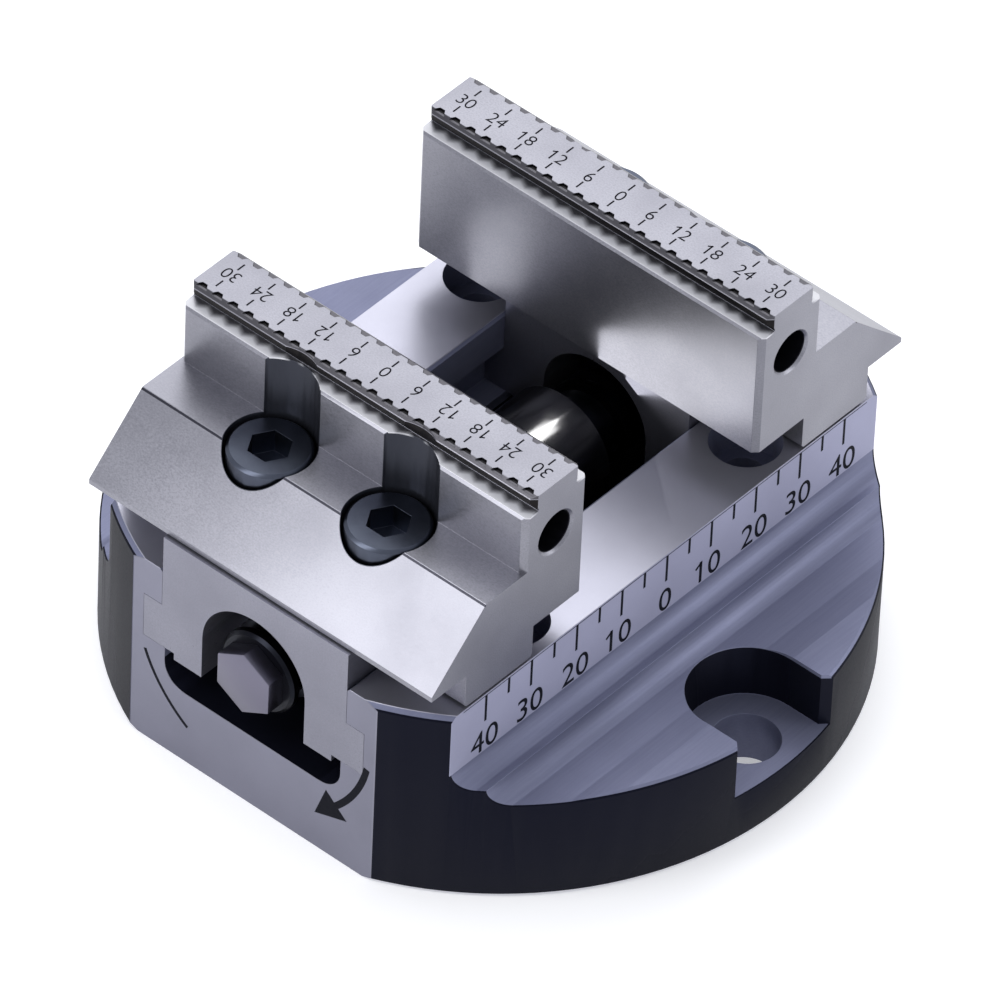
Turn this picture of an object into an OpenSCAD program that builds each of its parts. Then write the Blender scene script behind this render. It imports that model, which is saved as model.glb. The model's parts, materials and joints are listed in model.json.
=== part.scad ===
// Self-centring five-axis machine vise in millimetres, +Z up, with its origin at the middle of
// the base's underside. A round base carries two rails. A T-shaped slide runs between them at each
// end, and a serrated jaw is bolted on each slide. One spindle along Y, held at the middle, has a
// left-hand and a right-hand thread that move the slides together or apart by equal amounts.

/* [Base] */
// Diameter of the round base
base_d = 116; // [112:1:122]
// Length of the base over its front and rear flats
base_len = 106; // [102:1:109]
// Height of the round flange
flange_h = 19; // [18:0.5:20]
// Height of the rail tops above the underside
rail_top_z = 35.5; // [35:0.5:38]
// Width over the outer faces of the two rails
rail_w = 66.6; // [64:0.2:70]
// Chamfer on the round end of each rail
rail_chamfer = 0.9; // [0.4:0.1:1.5]
// Chamfer on the flange's rims
flange_chamfer = 0.6; // [0.3:0.1:1]
// Height of the small shoulder below each rail's scale face
shoulder_z = 21.3; // [20.8:0.1:22]
// Radius of the hollow above the shoulder
upper_hollow_r = 3; // [2:0.2:3.6]
// Width of the shoulder between the two hollows
shoulder_w = 1.1; // [0.6:0.1:1.6]
// Radius of the hollow below the shoulder
lower_hollow_r = 3; // [2.4:0.2:3.4]
// Height of the shallow groove on the flange
groove_z = 18.5; // [18.2:0.1:18.7]
// Flat width of the shallow groove
groove_w = 5.5; // [4:0.5:6]
// Width of the slope from the groove up to the flange
groove_slope_w = 4.5; // [3:0.5:6]

/* [Guide way] */
// Width of the slot between the rails
way_neck_w = 36; // [35:0.5:37]
// Width of the T-slot's foot
way_foot_w = 43; // [42:0.5:43.5]
// Height of the T-slot's floor
way_floor_z = 20.2; // [19.8:0.1:20.6]
// Height of the T-slot's foot
way_foot_h = 8.3; // [7.5:0.1:8.5]
// Chamfer on the rails' inner top edges
way_chamfer = 0.5; // [0.2:0.1:0.9]
// Width of the chip trough below the slot
trough_w = 34.4; // [33:0.2:35]
// Height of the trough's floor
trough_z = 13.6; // [13:0.1:14]
// Radius of the trough's bottom corners
trough_r = 4; // [3:0.2:4.4]

/* [Base holes] */
// Spacing of the four rail screws, both ways
rail_screw_span = 52; // [51:0.5:53]
// Diameter of a rail screw's hole
rail_screw_d = 6.6; // [6.2:0.1:7]
// Diameter of a rail screw's counterbore
rail_bore_d = 11.2; // [10.6:0.1:11.6]
// Depth of a rail screw's counterbore
rail_bore_h = 6.4; // [5.6:0.1:6.6]
// Distance of a flange bolt's centre from the rim
flange_bolt_edge = 8; // [7.5:0.5:9]
// Diameter of a flange bolt's hole
flange_bolt_d = 10.5; // [10:0.1:11]
// Width of a flange bolt's pocket
pocket_w = 19; // [18:0.2:20]
// Height of the pocket's floor
pocket_z = 9; // [8:0.5:10]
// Chamfer at the mouth of the pocket
pocket_chamfer = 1.5; // [1:0.1:2]
// Diameter of the centring bore in the underside
centring_d = 10; // [9:0.5:11]
// Depth of the centring bore
centring_h = 6; // [5:0.5:6.5]

/* [Slides] */
// Distance of a slide's inner end from the middle, at rest
slide_in_y = 22.5; // [22:0.5:24]
// Distance of a slide's outer end from the middle, at rest
slide_out_y = 53; // [51.5:0.5:54]
// Height of the seat that carries the jaw
seat_z = 42; // [41.5:0.1:42.5]
// Width of the slide's belly in the trough
belly_w = 30.8; // [30:0.2:31.4]
// Height of the belly's underside
belly_z = 19; // [18.6:0.1:19.4]
// Radius of the arch over the spindle
arch_r = 10; // [9.9:0.1:10.4]
// Height of the arch's centre
arch_z = 27; // [26.8:0.1:27.4]
// Distance of the nut wall's inner face from the middle, at rest
wall_in_y = 32.5; // [32.5:0.1:33]
// Thickness of the nut wall
wall_t = 10; // [9:0.2:10.4]
// Width of the nut boss below the slide
boss_w = 24; // [23:0.5:25]
// Height of the nut boss's underside
boss_z = 14.8; // [14.6:0.1:15.4]

/* [Spindle] */
// Height of the spindle's axis
spindle_z = 26; // [25.8:0.1:26.2]
// Diameter of the threads and journals
thread_d = 14; // [13.6:0.1:14.2]
// Distance of the threads' outer ends from the middle
thread_end_y = 52.3; // [51:0.1:52.6]
// Diameter of the neck that takes the thrust
spindle_neck_d = 10.4; // [9.6:0.1:11]
// Length of the neck
spindle_neck_l = 6; // [5.6:0.1:6.4]
// Diameter of the run-out groove beside each thread
relief_d = 11.6; // [11:0.1:12.4]
// Width of the run-out groove
relief_w = 2; // [1.4:0.1:2.6]
// Size across the flats of the key hexagons
hex_af = 10; // [9:0.5:11]
// Length of a key hexagon
hex_l = 3; // [2.4:0.1:4]
// Chamfer on the hexagon's end
hex_chamfer = 0.5; // [0.3:0.1:0.8]
// Outside diameter of a spindle nut
nut_d = 18; // [17.6:0.1:18.4]
// Diameter of the nut's flange
nut_flange_d = 19.2; // [18.8:0.1:19.4]
// Thickness of the nut's flange
nut_flange_t = 2; // [1.6:0.1:2]
// Length that the nut stands out of its wall
nut_proud = 1; // [0.5:0.1:1.5]

/* [Centre bearing] */
// Width of the bearing block and diameter of its crown
block_w = 19.2; // [18.8:0.1:19.2]
// Length of the bearing block
block_len = 30; // [28:0.5:30]
// Height of the block's seat in the base
block_z = 10; // [9.5:0.1:11]
// Outside diameter of the bushes and wiper rings
bush_d = 16.4; // [16:0.1:16.8]
// Length of a bush
bush_l = 9.4; // [8.5:0.1:9.6]
// Distance of a bush's inner end from the middle
bush_in_y = 3.5; // [3.4:0.1:3.8]
// Length of a wiper ring
wiper_l = 2; // [1.5:0.1:2]
// Width of the thrust fork
fork_w = 15.8; // [15:0.1:16]
// Height of the fork's foot
fork_z = 11; // [10.6:0.1:12]
// Height of the fork's prongs
fork_top_z = 29; // [28:0.1:30]

/* [Jaws] */
// Width of a jaw
jaw_w = 66.6; // [64:0.2:70]
// Distance of the jaw's upright from the middle, at rest
jaw_y = 26.05; // [25.6:0.05:26.4]
// Thickness of the jaw's upright
upright_t = 13.7; // [13.2:0.1:14.2]
// Height of the jaw's top
jaw_top_z = 68; // [66:0.5:72]
// Width of the flat top over its teeth
lip_top_w = 8.7; // [8.3:0.1:9]
// Distance that a lip's edge stands out beyond the flat top
lip_reach = 0.8; // [0.5:0.1:1.1]
// Height from a lip's edge up to the flat top
lip_drop = 0.7; // [0.5:0.1:1]
// Height of the upright face below a lip's edge
lip_face_h = 0.9; // [0.6:0.1:1.1]
// Depth of the undercut below a lip's face
undercut = 1; // [0.7:0.1:1.2]
// Height of the lip above its ledge
lip_h = 3.2; // [2.9:0.1:3.6]
// Spacing of the teeth along a lip
tooth_pitch = 3; // [2.5:0.1:4]
// Width of the notch between two teeth, at its back
notch_back_w = 0.9; // [0.5:0.1:1.2]
// Width of the notch at the edge of the flat top
notch_mouth_w = 1.7; // [1.3:0.1:2]
// Depth of the notch into the flat top
notch_reach = 0.6; // [0.4:0.1:0.8]
// Height of the notch
notch_h = 0.3; // [0.2:0.05:0.4]
// Height of the shelf that the screws stand on
shelf_z = 54; // [53:0.5:56]
// Distance of the shelf's outer edge from the middle, at rest
shelf_out_y = 41.4; // [41:0.1:42.4]
// Distance of the jaw's tip from the middle, at rest
tip_y = 52.3; // [51:0.1:53]
// Height of the jaw's blunt tip above the seat
tip_h = 1.6; // [1.2:0.1:2.2]
// Height that the tip clears the slide's top
tip_relief = 0.3; // [0.2:0.05:0.4]
// Distance of the ears' inner side from the middle, at rest
ear_in_y = 30.1; // [29.6:0.1:30.6]
// Distance of the ears' outer side from the middle, at rest
ear_out_y = 44.8; // [44.5:0.1:45.2]
// Gap between the ears and the rails
ear_gap = 0.5; // [0.3:0.1:0.8]
// Chamfer on the jaw's upright corners
jaw_chamfer = 0.9; // [0.5:0.1:1.4]
// Edge break on the jaw's ledges, shelf and ears
edge_break = 0.4; // [0.2:0.1:0.6]
// Height of the tapped hole in each end of a jaw
end_hole_z = 57.9; // [57:0.1:59]
// Core diameter of the tapped end holes
end_hole_d = 6.8; // [6:0.1:7]
// Depth of the tapped end holes
end_hole_h = 14; // [12:0.5:16]
// Countersink diameter of the tapped end holes
end_hole_mouth_d = 7.8; // [7.4:0.1:8.4]

/* [Jaw screws] */
// Spacing of a jaw's two screws
screw_span = 23; // [22.5:0.1:23.5]
// Distance of the screws from the middle, at rest
screw_y = 37.5; // [37.2:0.1:37.8]
// Diameter of the screw's shank
screw_d = 8; // [7.6:0.1:8]
// Diameter of the screw's head
screw_head_d = 13; // [12.6:0.1:13]
// Height of the screw's head
screw_head_h = 8; // [7.6:0.1:8.2]
// Size across the flats of the screw's socket
screw_af = 6; // [5:0.5:6.5]
// Depth of the screw's socket
screw_socket_h = 4; // [3:0.5:5]
// Length of the screw's shank
screw_l = 12; // [11:0.5:12.5]
// Diameter of the counterbore
screw_bore_d = 14; // [13.6:0.1:14]
// Height of the counterbore's floor
screw_bore_z = 45.8; // [45.6:0.1:46]

/* [Small hardware] */
// Diameter of a locating dowel
dowel_d = 6; // [5:0.5:7]
// Length of a locating dowel
dowel_l = 9.5; // [8:0.5:10]
// Distance of the dowels from the middle, at rest
dowel_y = 27; // [26.5:0.1:27.5]
// Diameter of a nut's lock screw
lock_d = 4; // [3:0.5:5]
// Diameter of a block screw's shank
block_screw_d = 5; // [4:0.5:5]
// Length of a block screw's shank
block_screw_l = 10; // [9:0.5:10.5]
// Diameter of a block screw's head
block_head_d = 8.5; // [8:0.1:9]
// Height of a block screw's head
block_head_h = 5; // [4:0.2:5.2]
// Spacing of the block screws across the spindle
block_screw_span_x = 9; // [8:0.2:9.4]
// Spacing of the block screws along the spindle
block_screw_span_y = 21; // [20:0.2:22]

/* [Hidden] */
$fn = 96;
// Overrun of every cut beyond the face that it opens
overrun = 1;
// Gap on each side of a slide in its way
slide_gap = 0.05;
// Radial gap of the spindle in its bushes and nuts
run_gap = 0.05;
// Gap round a piece that is pressed or screwed into its seat
seat_gap = 0.02;
// End float of the spindle's neck on the thrust fork, each side
end_float = 0.05;
// Gap on each side of the thrust fork in its slot
fork_gap = 0.05;
// Radial gap between the spindle's neck and the fork
neck_gap = 0.1;
// Radial gap round a screw's shank in its clearance hole
shank_gap = 0.25;
// Gap between a jaw's ears and the slide's neck
ear_side_gap = 0.1;
// Depth of the tapped holes beyond the screws' ends
tap_spare = 1;
// Chamfer on screw heads, dowels, bushes and nuts
small_chamfer = 0.5;

base_r = base_d / 2;
rail_x = rail_w / 2;
way_roof_z = way_floor_z + way_foot_h;
spindle_r = thread_d / 2;
wall_out_y = wall_in_y + wall_t;
block_r = block_w / 2;
neck_half = way_neck_w / 2 - slide_gap;
screw_end_z = screw_bore_z - screw_l;
lock_bottom_z = spindle_z + nut_d / 2;
block_screw_z = block_z - (block_z - block_head_h) / 2;
fork_t = spindle_neck_l - 2 * end_float;
block_tap_h = block_screw_z + block_screw_l - block_z;

// Draws a section, given in X and Z, from y0 to y1
module along_y(y0, y1) {
    translate([0, y1, 0])
        rotate([90, 0, 0])
            linear_extrude(y1 - y0)
                children();
}

// Draws a section, given in Y and Z, from x0 to x1
module along_x(x0, x1) {
    translate([x0, 0, 0])
        rotate([90, 0, 90])
            linear_extrude(x1 - x0)
                children();
}

// Turns a piece drawn for the rear end to the front end
module at_front() {
    rotate([0, 0, 180])
        children();
}

// Puts a copy at x and at -x
module at_both(x) {
    for (side = [-1, 1])
        translate([side * x, 0, 0])
            children();
}

// Rectangle centred on the vertical axis, from z0 to z1
module upright_rect(w, z0, z1) {
    translate([-w / 2, z0])
        square([w, z1 - z0]);
}

// Arch opening over the spindle, open downwards to z0
module arch_section(z0) {
    translate([0, arch_z])
        circle(r = arch_r);
    upright_rect(2 * arch_r, z0, arch_z);
}

// Cylinder along Z with a chamfer at both ends
module chamfered_bar(d, z0, z1, chamfer) {
    rotate_extrude()
        polygon([
            [0, z0], [d / 2 - chamfer, z0], [d / 2, z0 + chamfer],
            [d / 2, z1 - chamfer], [d / 2 - chamfer, z1], [0, z1]
        ]);
}

// Ring about the spindle's axis from y0 to y1, with small chamfers on its outer edges
module spindle_ring(outer_d, inner_d, y0, y1, chamfer) {
    translate([0, 0, spindle_z])
        rotate([-90, 0, 0])
            rotate_extrude()
                polygon([
                    [inner_d / 2, y0], [outer_d / 2 - chamfer, y0], [outer_d / 2, y0 + chamfer],
                    [outer_d / 2, y1 - chamfer], [outer_d / 2 - chamfer, y1], [inner_d / 2, y1]
                ]);
}

// Hexagon socket screw pointing down, with the underside of its head at the origin
module cap_screw(d, l, head_d, head_h, af, socket_h) {
    difference() {
        union() {
            rotate_extrude()
                polygon([
                    [0, 0], [head_d / 2, 0], [head_d / 2, head_h - small_chamfer],
                    [head_d / 2 - small_chamfer, head_h], [0, head_h]
                ]);
            translate([0, 0, -l])
                rotate_extrude()
                    polygon([
                        [0, 0], [d / 2 - small_chamfer, 0], [d / 2, small_chamfer],
                        [d / 2, l + small_chamfer], [0, l + small_chamfer]
                    ]);
        }
        translate([0, 0, head_h - socket_h])
            cylinder(r = af / 2 / cos(30), h = socket_h + overrun, $fn = 6);
    }
}

// Section of the T-shaped guide way and the trough below it
module way_section() {
    upright_rect(way_neck_w, way_floor_z, rail_top_z + overrun);
    upright_rect(way_foot_w, way_floor_z, way_roof_z);
    upright_rect(trough_w, trough_z + trough_r, way_roof_z);
    upright_rect(trough_w - 2 * trough_r, trough_z, way_roof_z);
    for (side = [-1, 1])
        translate([side * (trough_w / 2 - trough_r), trough_z + trough_r])
            circle(r = trough_r);
    polygon([
        [-way_neck_w / 2, rail_top_z - way_chamfer], [way_neck_w / 2, rail_top_z - way_chamfer],
        [way_neck_w / 2 + way_chamfer + overrun, rail_top_z + overrun],
        [-way_neck_w / 2 - way_chamfer - overrun, rail_top_z + overrun]
    ]);
}

// Section of the hollows that run down from one rail to the flange
module hollow_section() {
    shoulder_x = rail_x + upper_hollow_r;
    lower_x = shoulder_x + shoulder_w + lower_hollow_r;
    difference() {
        translate([rail_x - overrun, groove_z - overrun])
            square([lower_x - rail_x + overrun, shoulder_z + upper_hollow_r - groove_z + overrun]);
        translate([shoulder_x, shoulder_z])
            square([lower_x, rail_top_z]);
        translate([shoulder_x, shoulder_z + upper_hollow_r])
            circle(r = upper_hollow_r);
        translate([lower_x, groove_z + lower_hollow_r])
            circle(r = lower_hollow_r);
    }
}

// Section of the shallow groove in the flange, beside one rail
module groove_section() {
    groove_x = rail_x + upper_hollow_r + shoulder_w + lower_hollow_r + groove_w;
    polygon([
        [rail_x, groove_z], [groove_x, groove_z], [groove_x + groove_slope_w, flange_h],
        [groove_x + groove_slope_w, flange_h + overrun], [rail_x, flange_h + overrun]
    ]);
}

// Round flange with its shallow grooves and the hollows that lead up to the rails
module flange() {
    difference() {
        chamfered_bar(base_d, 0, flange_h, flange_chamfer);
        for (turn = [0, 180])
            rotate([0, 0, turn])
                along_y(-base_r, base_r)
                    groove_section();
    }
    intersection() {
        for (turn = [0, 180])
            rotate([0, 0, turn])
                along_y(-base_r, base_r)
                    hollow_section();
        cylinder(r = base_r, h = rail_top_z);
    }
}

// The two rails as one block, rounded at its ends like the flange
module rails() {
    intersection() {
        along_y(-base_r, base_r)
            upright_rect(rail_w, 0, rail_top_z);
        rotate_extrude()
            polygon([
                [0, 0], [base_r - flange_chamfer, 0], [base_r, flange_chamfer],
                [base_r, rail_top_z - rail_chamfer], [base_r - rail_chamfer, rail_top_z], [0, rail_top_z]
            ]);
    }
}

// Pocket for one flange bolt, open at the rim, on the +X side
module flange_pocket() {
    mouth_x = sqrt(pow(base_r, 2) - pow(pocket_w / 2, 2));
    flange_bolt_x = base_r - flange_bolt_edge;
    translate([flange_bolt_x, 0, -overrun])
        cylinder(d = flange_bolt_d, h = flange_h);
    translate([flange_bolt_x, 0, pocket_z])
        cylinder(d = pocket_w, h = flange_h);
    translate([flange_bolt_x, -pocket_w / 2, pocket_z])
        cube([base_r, pocket_w, flange_h]);
    translate([mouth_x, 0, pocket_z])
        linear_extrude(flange_h)
            polygon([
                [-pocket_chamfer, -pocket_w / 2], [pocket_chamfer, -pocket_w / 2 - 2 * pocket_chamfer],
                [pocket_chamfer, pocket_w / 2 + 2 * pocket_chamfer], [-pocket_chamfer, pocket_w / 2]
            ]);
}

// Hole and counterbore for one rail screw
module rail_screw_hole() {
    translate([0, 0, -overrun])
        cylinder(d = rail_screw_d, h = rail_top_z + 2 * overrun);
    translate([0, 0, rail_top_z - rail_bore_h])
        cylinder(d = rail_bore_d, h = rail_bore_h + overrun);
}

// Puts a copy at the place of each of the two block screws
module at_block_screws() {
    for (side = [-1, 1])
        translate([side * block_screw_span_x / 2, side * block_screw_span_y / 2, 0])
            children();
}

module base_body() {
    color("#6a6e80")
        difference() {
            intersection() {
                union() {
                    flange();
                    rails();
                }
                translate([-base_r, -base_len / 2, 0])
                    cube([base_d, base_len, rail_top_z]);
            }
            along_y(-base_r, base_r)
                way_section();
            for (x = [-1, 1], y = [-1, 1])
                translate([x * rail_screw_span / 2, y * rail_screw_span / 2, 0])
                    rail_screw_hole();
            for (turn = [0, 180])
                rotate([0, 0, turn])
                    flange_pocket();
            translate([-block_w / 2 - seat_gap, -block_len / 2 - seat_gap, block_z])
                cube([block_w + 2 * seat_gap, block_len + 2 * seat_gap, trough_z]);
            at_block_screws() {
                translate([0, 0, -overrun])
                    cylinder(d = block_screw_d + 2 * shank_gap, h = block_z + 2 * overrun);
                translate([0, 0, -overrun])
                    cylinder(d = block_head_d + 4 * shank_gap, h = block_screw_z + overrun);
            }
            translate([0, 0, -overrun])
                cylinder(d = centring_d, h = centring_h + overrun);
        }
}

// Slot that the thrust fork slides up into
module fork_slot(h) {
    translate([-fork_w / 2 - fork_gap, -fork_t / 2 - fork_gap, 0])
        cube([fork_w + 2 * fork_gap, fork_t + 2 * fork_gap, h]);
}

// Arch-shaped block that holds the spindle's journals and the thrust fork
module bearing_block() {
    color("#1c1d22")
        difference() {
            along_y(-block_len / 2, block_len / 2) {
                upright_rect(block_w, block_z, spindle_z);
                translate([0, spindle_z])
                    circle(d = block_w);
            }
            spindle_ring(bush_d + 2 * seat_gap, 0, -block_len, block_len, 0);
            translate([0, 0, block_z - overrun])
                fork_slot(fork_top_z + fork_gap - block_z + overrun);
            at_block_screws()
                translate([0, 0, block_z - overrun])
                    cylinder(d = block_screw_d + 2 * seat_gap, h = block_tap_h + 2 * overrun);
        }
}

// U-shaped plate that slides up over the spindle's neck and takes its thrust
module thrust_fork() {
    slot_r = spindle_neck_d / 2 + neck_gap;
    color("#8f9095")
        along_y(-fork_t / 2, fork_t / 2)
            difference() {
                upright_rect(fork_w, fork_z, fork_top_z);
                translate([0, spindle_z])
                    circle(r = slot_r);
                upright_rect(2 * slot_r, spindle_z, fork_top_z + overrun);
            }
}

module bush() {
    spindle_ring(bush_d, thread_d + 2 * run_gap, bush_in_y, bush_in_y + bush_l, small_chamfer);
}

module front_bush() {
    color("#b8894a")
        at_front()
            bush();
}

module rear_bush() {
    color("#b8894a")
        bush();
}

// Rubber ring that keeps chips out of the block's bore
module wiper() {
    spindle_ring(bush_d, thread_d + run_gap, block_len / 2 - wiper_l, block_len / 2, 0);
}

module front_wiper() {
    color("#202022")
        at_front()
            wiper();
}

module rear_wiper() {
    color("#202022")
        wiper();
}

module block_screws() {
    color("#3a3d44")
        at_block_screws()
            translate([0, 0, block_screw_z])
                rotate([180, 0, 0])
                    cap_screw(
                        block_screw_d, block_screw_l, block_head_d, block_head_h,
                        block_head_h - 2 * small_chamfer, block_head_h / 2
                    );
}

// One end of the spindle as a revolved outline: neck, journal, run-out groove and thread
module spindle_half() {
    relief_y = block_len / 2 + relief_w / 2;
    rotate_extrude()
        polygon([
            [0, 0], [spindle_neck_d / 2, 0], [spindle_neck_d / 2, spindle_neck_l / 2],
            [spindle_r, spindle_neck_l / 2], [spindle_r, relief_y],
            [relief_d / 2, relief_y], [relief_d / 2, relief_y + relief_w],
            [spindle_r, relief_y + relief_w], [spindle_r, thread_end_y - small_chamfer],
            [spindle_r - small_chamfer, thread_end_y], [0, thread_end_y]
        ]);
    translate([0, 0, thread_end_y - overrun])
        intersection() {
            rotate([0, 0, 30])
                cylinder(r = hex_af / 2 / cos(30), h = hex_l + overrun, $fn = 6);
            rotate_extrude()
                polygon([
                    [0, 0], [hex_af, 0], [hex_af / 2 + hex_chamfer, hex_l + overrun - hex_chamfer],
                    [hex_af / 2, hex_l + overrun], [0, hex_l + overrun]
                ]);
        }
}

module spindle() {
    color("#191a1f")
        translate([0, 0, spindle_z])
            for (turn = [-90, 90])
                rotate([turn, 0, 0])
                    spindle_half();
}

// Slide at the rear end: T-section with an arch tunnel, and a wall that carries the nut
module slide() {
    foot_z = way_floor_z + slide_gap;
    difference() {
        union() {
            difference() {
                along_y(slide_in_y, slide_out_y) {
                    upright_rect(2 * neck_half, foot_z, seat_z);
                    upright_rect(way_foot_w - 2 * slide_gap, foot_z, way_roof_z - slide_gap);
                    upright_rect(belly_w, belly_z, way_roof_z - slide_gap);
                }
                along_y(slide_in_y - overrun, slide_out_y + overrun)
                    arch_section(0);
            }
            along_y(wall_in_y, wall_out_y)
                upright_rect(boss_w, boss_z, arch_z + arch_r + overrun);
        }
        spindle_ring(nut_d + 2 * seat_gap, 0, slide_in_y, slide_out_y, 0);
        at_both(screw_span / 2)
            translate([0, screw_y, screw_end_z - tap_spare])
                cylinder(d = screw_d + 2 * seat_gap, h = seat_z);
        translate([0, wall_in_y + wall_t / 2, lock_bottom_z - small_chamfer])
            cylinder(d = lock_d + 2 * seat_gap, h = seat_z);
        translate([0, dowel_y, seat_z - dowel_l / 2 + tap_spare])
            cylinder(d = dowel_d + 2 * seat_gap, h = seat_z);
    }
}

module front_slide() {
    color("#7d7f90")
        at_front()
            slide();
}

module rear_slide() {
    color("#7d7f90")
        slide();
}

// Flanged nut at the rear end, with a dimple for its lock screw
module nut() {
    bore_d = thread_d + 2 * run_gap;
    difference() {
        union() {
            spindle_ring(nut_d, bore_d, wall_in_y - small_chamfer, wall_out_y + nut_proud, small_chamfer);
            spindle_ring(nut_flange_d, bore_d, wall_in_y - nut_flange_t, wall_in_y, 0);
        }
        translate([0, wall_in_y + wall_t / 2, lock_bottom_z - small_chamfer])
            cylinder(d = lock_d, h = nut_d);
    }
}

module front_nut() {
    color("#4a4c54")
        at_front()
            nut();
}

module rear_nut() {
    color("#4a4c54")
        nut();
}

// Grub screw that keeps the nut from turning
module nut_lock_screw() {
    grub_z = lock_bottom_z - small_chamfer + seat_gap;
    grub_l = (seat_z - grub_z) * 3 / 4;
    translate([0, wall_in_y + wall_t / 2, grub_z])
        difference() {
            chamfered_bar(lock_d - 2 * seat_gap, 0, grub_l, small_chamfer / 2);
            translate([0, 0, grub_l / 2])
                cylinder(r = lock_d / 4 / cos(30), h = grub_l, $fn = 6);
        }
}

module front_nut_lock_screw() {
    color("#3a3d44")
        at_front()
            nut_lock_screw();
}

module rear_nut_lock_screw() {
    color("#3a3d44")
        nut_lock_screw();
}

// Side view of a jaw at the rear end, with the lips' edges not yet cut into teeth
module jaw_section() {
    in_y = jaw_y - upright_t / 2;
    out_y = jaw_y + upright_t / 2;
    ledge_z = jaw_top_z - lip_h;
    polygon([
        [in_y, seat_z], [in_y, ledge_z - edge_break], [in_y + edge_break, ledge_z],
        [jaw_y, ledge_z + overrun / 2], [out_y - edge_break, ledge_z], [out_y, ledge_z - edge_break],
        [out_y, shelf_z], [shelf_out_y - edge_break, shelf_z], [shelf_out_y, shelf_z - edge_break],
        [tip_y - edge_break, seat_z + tip_h], [tip_y, seat_z + tip_h - edge_break],
        [tip_y, seat_z + tip_relief], [ear_out_y, seat_z + tip_relief], [ear_out_y, seat_z]
    ]);
}

// Side view of the two lips: flat top, slopes down to the edges, upright faces and undercuts
module lip_section() {
    edge = lip_top_w / 2 + lip_reach;
    edge_z = jaw_top_z - lip_drop;
    face_z = edge_z - lip_face_h;
    root = edge - undercut;
    outer_side = [
        [root, jaw_top_z - lip_h - overrun / 2], [root, face_z - undercut],
        [edge, face_z], [edge, edge_z], [lip_top_w / 2, jaw_top_z]
    ];
    inner_side = [for (i = [len(outer_side) - 1:-1:0]) [-outer_side[i][0], outer_side[i][1]]];
    translate([jaw_y, 0])
        polygon(concat(outer_side, inner_side));
}

// Top view of one notch in the lip on the +Y side, narrow at its back
module notch_outline() {
    flare = (notch_mouth_w - notch_back_w) / 2 / notch_reach;
    back_y = lip_top_w / 2 - notch_reach;
    front_y = lip_top_w / 2 + lip_reach;
    front_w = notch_back_w + 2 * flare * (front_y - back_y);
    polygon([
        [-notch_back_w / 2, back_y], [notch_back_w / 2, back_y],
        [front_w / 2, front_y], [-front_w / 2, front_y]
    ]);
}

// Notches that part both lips into teeth
module notches() {
    room = jaw_w / 2 - jaw_chamfer - notch_mouth_w / 2;
    count = 2 * floor(room / tooth_pitch + 1 / 2);
    for (i = [0:count - 1], turn = [0, 180])
        translate([(i - (count - 1) / 2) * tooth_pitch, jaw_y, jaw_top_z - notch_h])
            rotate([0, 0, turn])
                linear_extrude(notch_h + overrun)
                    notch_outline();
}

// One ear of a jaw, which hangs beside the slide's neck on the +X side
module ear() {
    ear_z = rail_top_z + ear_gap;
    along_x(neck_half + ear_side_gap, jaw_w / 2)
        polygon([
            [ear_in_y, seat_z + overrun], [ear_in_y, ear_z + edge_break], [ear_in_y + edge_break, ear_z],
            [ear_out_y - edge_break, ear_z], [ear_out_y, ear_z + edge_break], [ear_out_y, seat_z + overrun]
        ]);
}

// Tapped hole in the +X end of a jaw
module end_hole() {
    countersink = (end_hole_mouth_d - end_hole_d) / 2;
    translate([jaw_w / 2, jaw_y, end_hole_z])
        rotate([0, -90, 0])
            rotate_extrude()
                polygon([
                    [0, -overrun], [end_hole_mouth_d / 2 + overrun, -overrun], [end_hole_d / 2, countersink],
                    [end_hole_d / 2, end_hole_h], [0, end_hole_h + end_hole_d / 4]
                ]);
}

// Cuts a chamfer along an upright corner of the jaw, at y, from z0 up
module corner_chamfer(y, z0) {
    side = jaw_chamfer * sqrt(2);
    at_both(jaw_w / 2)
        translate([0, y, z0])
            rotate([0, 0, 45])
                translate([-side / 2, -side / 2, 0])
                    cube([side, side, jaw_top_z]);
}

// Clearance hole and counterbore of one jaw screw, which also hollows the upright's outer face
module jaw_screw_hole() {
    translate([0, screw_y, 0])
        cylinder(d = screw_d + 2 * shank_gap, h = jaw_top_z);
    translate([0, screw_y, screw_bore_z])
        cylinder(d = screw_bore_d, h = jaw_top_z);
}

// Jaw at the rear end: upright with serrated lips, shelf for the screws, slope and ears
module jaw() {
    difference() {
        union() {
            along_x(-jaw_w / 2, jaw_w / 2) {
                jaw_section();
                lip_section();
            }
            for (side = [0, 1])
                mirror([side, 0, 0])
                    ear();
        }
        corner_chamfer(jaw_y - upright_t / 2, seat_z - overrun);
        corner_chamfer(jaw_y + upright_t / 2, shelf_z);
        for (side = [-1, 1])
            corner_chamfer(jaw_y + side * (lip_top_w / 2 + lip_reach), jaw_top_z - lip_h + overrun / 2);
        notches();
        at_both(screw_span / 2)
            jaw_screw_hole();
        for (side = [0, 1])
            mirror([side, 0, 0])
                end_hole();
        translate([0, dowel_y, 0])
            cylinder(d = dowel_d + 2 * seat_gap, h = seat_z + dowel_l / 2 + 2 * tap_spare);
    }
}

module front_jaw() {
    color("#b9b8c2")
        at_front()
            jaw();
}

module rear_jaw() {
    color("#b9b8c2")
        jaw();
}

module jaw_dowel() {
    foot_z = seat_z - dowel_l / 2 + tap_spare;
    translate([0, dowel_y, 0])
        chamfered_bar(dowel_d, foot_z, foot_z + dowel_l, small_chamfer);
}

module front_jaw_dowel() {
    color("#9a9ca2")
        at_front()
            jaw_dowel();
}

module rear_jaw_dowel() {
    color("#9a9ca2")
        jaw_dowel();
}

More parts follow.
